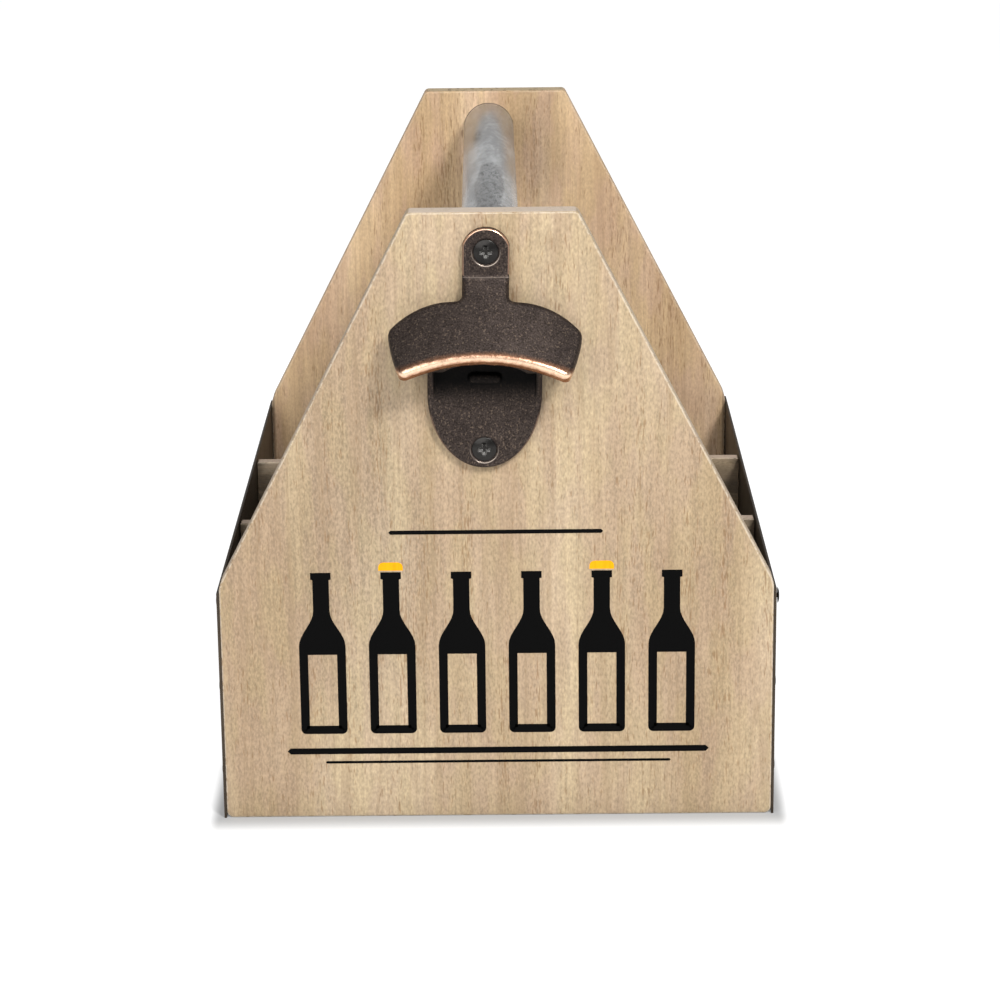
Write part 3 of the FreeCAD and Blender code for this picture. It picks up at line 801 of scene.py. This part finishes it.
def glossyScrewFinish(name):
    # painted glints: the flanks of the cross recess are painted bright for the light they catch
    finish = steelFinish(name, screwSteel)
    tree = finish.node_tree
    shader = tree.nodes["Principled BSDF"]
    normal = axes(tree, "Normal")
    flankGlint = span(tree, sums(tree, "ABSOLUTE", normal["X"]), *screwSteel["flankSideEdge"])
    flankGlint = product(tree, flankGlint, screwSteel["flankSideShare"])
    flankGlint = highest(tree, flankGlint, span(tree, normal["Z"], *screwSteel["flankUpEdge"]))
    near = 0.0
    for x, z in castOpener["screwPlaces"]:
        near = highest(tree, span(tree, radiusFrom(tree, x, z), *screwSteel["recessEdge"]), near)
    patina = shader.inputs["Base Color"].links[0].from_socket
    colour = blendColour(tree, product(tree, flankGlint, near), patina, screwSteel["flankGlint"])
    tree.links.new(colour, shader.inputs["Base Color"])
    return finish


makeCastOpener()
glossyScrew = glossyScrewFinish("glossyScrew")
for name in ("upper_opener_screw", "lower_opener_screw"):
    screw = softCopy(name + "_soft", name, castOpener["screwVoxel"], castOpener["screwSmoothTurns"])
    carry(screw, glossyScrew)
print("opener done")


# Print on the front board: a row of bottles with two caps, and three rules

bottlePrint = {
    "count": 6,
    "spacing": 24.0 * mm,
    "foot": 31 * mm,
    "bodyWidth": 16.0 * mm,
    "bodyHeight": 32 * mm,
    "heelRadius": 1.8 * mm,
    "heelSegments": 5,
    "labelMargin": 3.0 * mm,
    "shoulderRise": 13 * mm,
    "shoulderSteps": 8,
    "neckWidth": 5.6 * mm,
    "neckRise": 11 * mm,
    "lipWidth": 7.0 * mm,
    "lipStep": 0.2 * mm,
    "lipRise": 2.4 * mm,
    "capWidth": 8.4 * mm,
    "capRise": 2.9 * mm,
    "capGap": 0.8 * mm,
    "capRounding": 0.6,
    "capSegments": 4,
    "ruleWidth": 146 * mm,
    "rulePoint": 0.49,
    "rules": [
        {"name": "printedRuleWide", "height": 2.2 * mm, "foot": 23.5 * mm, "share": 1.0},
        {"name": "printedRuleThin", "height": 0.9 * mm, "foot": 20.0 * mm, "share": 0.82},
        {"name": "printedRuleTop", "height": 1.4 * mm, "foot": 103 * mm, "share": 0.5},
    ],
    "lift": 0.02 * mm,
    "inkDepth": 0.08 * mm,
    "slack": 0.01 * mm,
    "black": tone(5, 5, 5),
    "yellow": tone(222, 150, 18),
}
inkSurface = {
    "soakStretch": (1, 1, 0.1),
    "soakNoise": (900, 4, 0.65),
    "soakStops": [(0.3, 0.42), (0.72, 0.62)],
    "soakShare": 0.5,
    "rough": 0.55,
    "roughSpread": 0.2,
    "gloss": 0.04,
    "bump": 0.3,
    "bumpDepth": 0.03 * mm,
}
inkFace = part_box("front_panel")[0][1] + bottlePrint["lift"]


def inkFinish(name, colour):
    surface = inkSurface
    finish, tree, shader = newFinish(name)
    soak = noise(tree, place(tree, surface["soakStretch"]), *surface["soakNoise"])
    soakTone = ramp(tree, soak, surface["soakStops"])
    soaked = blendColour(tree, surface["soakShare"], colour, soakTone, "OVERLAY")
    tree.links.new(soaked, shader.inputs["Base Color"])
    tree.links.new(scaled(tree, soak, surface["roughSpread"], surface["rough"]), shader.inputs["Roughness"])
    shader.inputs["Specular IOR Level"].default_value = surface["gloss"]
    relief(tree, shader, soak, surface["bump"], surface["bumpDepth"])
    return finish


def inkPatch(name, width, height, middle, foot):
    clearSelection()
    bpy.ops.mesh.primitive_plane_add(size=1, location=(middle, inkFace, foot + height / 2),
                                     rotation=(math.pi / 2, 0, 0))
    piece = bpy.context.active_object
    piece.name = name
    piece.scale = (width, height, 1)
    settle(piece)
    bpy.ops.object.mode_set(mode="EDIT")
    return piece


def growUp(piece, rise, ratio, middle):
    # pull the top edge up and widen or narrow it
    top = max(vertex.co.z for vertex in bmesh.from_edit_mesh(piece.data).verts)
    pick(piece, "EDGE", lambda point: point.z > top - bottlePrint["slack"])
    bpy.ops.mesh.extrude_region_move(TRANSFORM_OT_translate={"value": (0, 0, rise)})
    bpy.ops.transform.resize(value=(ratio, 1, 1), center_override=(middle, inkFace, top + rise))


def repeat(piece, name, count, step):
    applyModifier(piece, name, "ARRAY", count=count, use_relative_offset=False,
                  use_constant_offset=True, constant_offset_displace=(step, 0, 0))


def inkDown(piece, finish):
    takeUp(piece)
    bpy.ops.object.mode_set(mode="EDIT")
    bpy.ops.mesh.select_all(action="SELECT")
    bpy.ops.mesh.normals_make_consistent(inside=False)
    bpy.ops.object.mode_set(mode="OBJECT")
    if piece.data.polygons[0].normal.y > 0:
        piece.data.flip_normals()
    applyModifier(piece, "inkLayer", "SOLIDIFY", thickness=bottlePrint["inkDepth"], offset=1)
    carry(piece, finish)


def printBottles(finish):
    ink = bottlePrint
    first = -ink["spacing"] * (ink["count"] - 1) / 2
    piece = inkPatch("printedBottles", ink["bodyWidth"], ink["bodyHeight"], first, ink["foot"])
    width = ink["bodyWidth"]
    for step in range(1, ink["shoulderSteps"] + 1):
        swing = (1 + math.cos(math.pi * step / ink["shoulderSteps"])) / 2
        target = ink["neckWidth"] + (ink["bodyWidth"] - ink["neckWidth"]) * swing
        growUp(piece, ink["shoulderRise"] / ink["shoulderSteps"], target / width, first)
        width = target
    growUp(piece, ink["neckRise"], 1, first)
    growUp(piece, ink["lipStep"], ink["lipWidth"] / ink["neckWidth"], first)
    growUp(piece, ink["lipRise"], 1, first)
    pick(piece, "VERT", lambda point: point.z < ink["foot"] + ink["slack"])
    bpy.ops.mesh.bevel(offset=ink["heelRadius"], affect="VERTICES", segments=ink["heelSegments"])
    # the body keeps a border round a bare label
    shoulder = ink["foot"] + ink["bodyHeight"] + ink["slack"]
    pick(piece, "FACE", lambda point: point.z < shoulder)
    bpy.ops.mesh.inset(thickness=ink["labelMargin"])
    bpy.ops.mesh.delete(type="FACE")
    bpy.ops.object.mode_set(mode="OBJECT")
    repeat(piece, "row", ink["count"], ink["spacing"])
    inkDown(piece, finish)


def printCaps(finish):
    # on the second bottle from each end
    ink = bottlePrint
    top = (ink["foot"] + ink["bodyHeight"] + ink["shoulderRise"]
           + ink["neckRise"] + ink["lipRise"] + ink["capGap"])
    apart = ink["spacing"] * (ink["count"] - 3)
    piece = inkPatch("printedCaps", ink["capWidth"], ink["capRise"], -apart / 2, top)
    pick(piece, "VERT", lambda point: point.z > top + ink["capRise"] / 2)
    rounding = ink["capRise"] * ink["capRounding"]
    bpy.ops.mesh.bevel(offset=rounding, affect="VERTICES", segments=ink["capSegments"])
    bpy.ops.object.mode_set(mode="OBJECT")
    repeat(piece, "pair", 2, apart)
    inkDown(piece, finish)


def printRule(rule, finish):
    # a bar with pointed ends
    width = bottlePrint["ruleWidth"] * rule["share"]
    piece = inkPatch(rule["name"], width, rule["height"], 0, rule["foot"])
    pick(piece, "VERT", lambda point: True)
    bpy.ops.mesh.bevel(offset=rule["height"] * bottlePrint["rulePoint"], affect="VERTICES", segments=1)
    inkDown(piece, finish)


blackInk = inkFinish("blackInk", bottlePrint["black"])
printBottles(blackInk)
printCaps(inkFinish("yellowInk", bottlePrint["yellow"]))
for rule in bottlePrint["rules"]:
    printRule(rule, blackInk)
print("print done")


# Floor, light and camera

white = (1, 1, 1, 1)
studio = {
    "floorSize": 8.0,
    "floorTone": (0.3, 0.3, 0.3, 1),
    "floorRoughness": 0.9,
    "floorGlow": 0.92,
    "footShadowGlow": 0.19,
    "footShadowFade": 18 * mm,
    "sideSqueeze": 3.0,
    "wallAhead": 0.28,
    "wallBehind": 0.55,
    "behindEdge": (0.2, 0.8),
    "zenith": 0.1,
    "wallEdge": (0.85, 0.3),
    "lights": [
        {"name": "keyRight", "place": (0.66, -1.3, 1.28), "size": 0.42, "power": 31},
        {"name": "fillLeft", "place": (-0.45, -1.25, 0.95), "size": 1.6, "power": 18},
    ],
    "aim": (0.0, 0.0, 0.1),
}
photoCamera = {
    "place": (0.00699, -1.13797, 0.41571),
    "pitch": 16.606,
    "yaw": -0.307,
    "roll": -0.622,
    "focalPixels": 3108.2,
    "framePixels": 1000,
    "sensor": 36.0,
}


def addFloor():
    clearSelection()
    bpy.ops.mesh.primitive_plane_add(size=studio["floorSize"], location=(0, 0, 0))
    floor = bpy.context.active_object
    floor.name = "studioFloor"
    finish, tree, shader = newFinish("paleFloor")
    # a light table, its glow cut close to the caddy's foot to paint a contact shadow
    away = vectors(tree, "ABSOLUTE", place(tree))
    away = vectors(tree, "SUBTRACT", away, (cadBox[1][0], cadBox[1][1], 0))
    away = vectors(tree, "MAXIMUM", away, (0, 0, 0))
    away = vectors(tree, "MULTIPLY", away, (studio["sideSqueeze"], 1, 0))
    distance = vectors(tree, "LENGTH", away, output="Value")
    glow = span(tree, distance, 0.0, studio["footShadowFade"])
    glow = scaled(tree, glow, studio["floorGlow"] - studio["footShadowGlow"], studio["footShadowGlow"])
    shader.inputs["Base Color"].default_value = studio["floorTone"]
    shader.inputs["Emission Color"].default_value = white
    tree.links.new(glow, shader.inputs["Emission Strength"])
    shader.inputs["Roughness"].default_value = studio["floorRoughness"]
    shader.inputs["Specular IOR Level"].default_value = 0.0
    floor.data.materials.append(finish)


def addLight(light):
    data = bpy.data.lights.new(light["name"], "AREA")
    data.shape = "DISK"
    data.size = light["size"]
    data.energy = light["power"]
    lamp = bpy.data.objects.new(light["name"], data)
    lamp.location = light["place"]
    lamp.rotation_euler = (Vector(studio["aim"]) - lamp.location).to_track_quat("-Z", "Y").to_euler()
    bpy.context.scene.collection.objects.link(lamp)


def addWorld():
    # pale walls, the one behind paler, and a darker ceiling
    world = bpy.data.worlds.new("studioWorld")
    world.use_nodes = True
    tree = world.node_tree
    direction = axes(tree, "Generated")
    behind = span(tree, direction["Y"], *studio["behindEdge"])
    wall = scaled(tree, behind, studio["wallBehind"] - studio["wallAhead"], studio["wallAhead"])
    low = span(tree, direction["Z"], *studio["wallEdge"])
    strength = scaled(tree, low, sums(tree, "SUBTRACT", wall, studio["zenith"]), studio["zenith"])
    background = tree.nodes["Background"]
    tree.links.new(strength, background.inputs["Strength"])
    background.inputs["Color"].default_value = white
    bpy.context.scene.world = world


def addCamera():
    pitch, yaw, roll = (math.radians(photoCamera[name]) for name in ("pitch", "yaw", "roll"))
    ahead = Vector((math.sin(yaw) * math.cos(pitch), math.cos(yaw) * math.cos(pitch), -math.sin(pitch)))
    level = Vector((math.cos(yaw), -math.sin(yaw), 0))
    upright = level.cross(ahead)
    right = math.cos(roll) * level + math.sin(roll) * upright
    top = -math.sin(roll) * level + math.cos(roll) * upright
    data = bpy.data.cameras.new("photoCamera")
    data.sensor_width = photoCamera["sensor"]
    data.lens = photoCamera["focalPixels"] * photoCamera["sensor"] / photoCamera["framePixels"]
    camera = bpy.data.objects.new("photoCamera", data)
    turn = Matrix((right, top, -ahead)).transposed().to_4x4()
    camera.matrix_world = Matrix.Translation(photoCamera["place"]) @ turn
    bpy.context.scene.collection.objects.link(camera)
    bpy.context.scene.camera = camera


addFloor()
for light in studio["lights"]:
    addLight(light)
addWorld()
bpy.context.scene.view_settings.view_transform = "Standard"
addCamera()
print("studio done")

clearSelection()
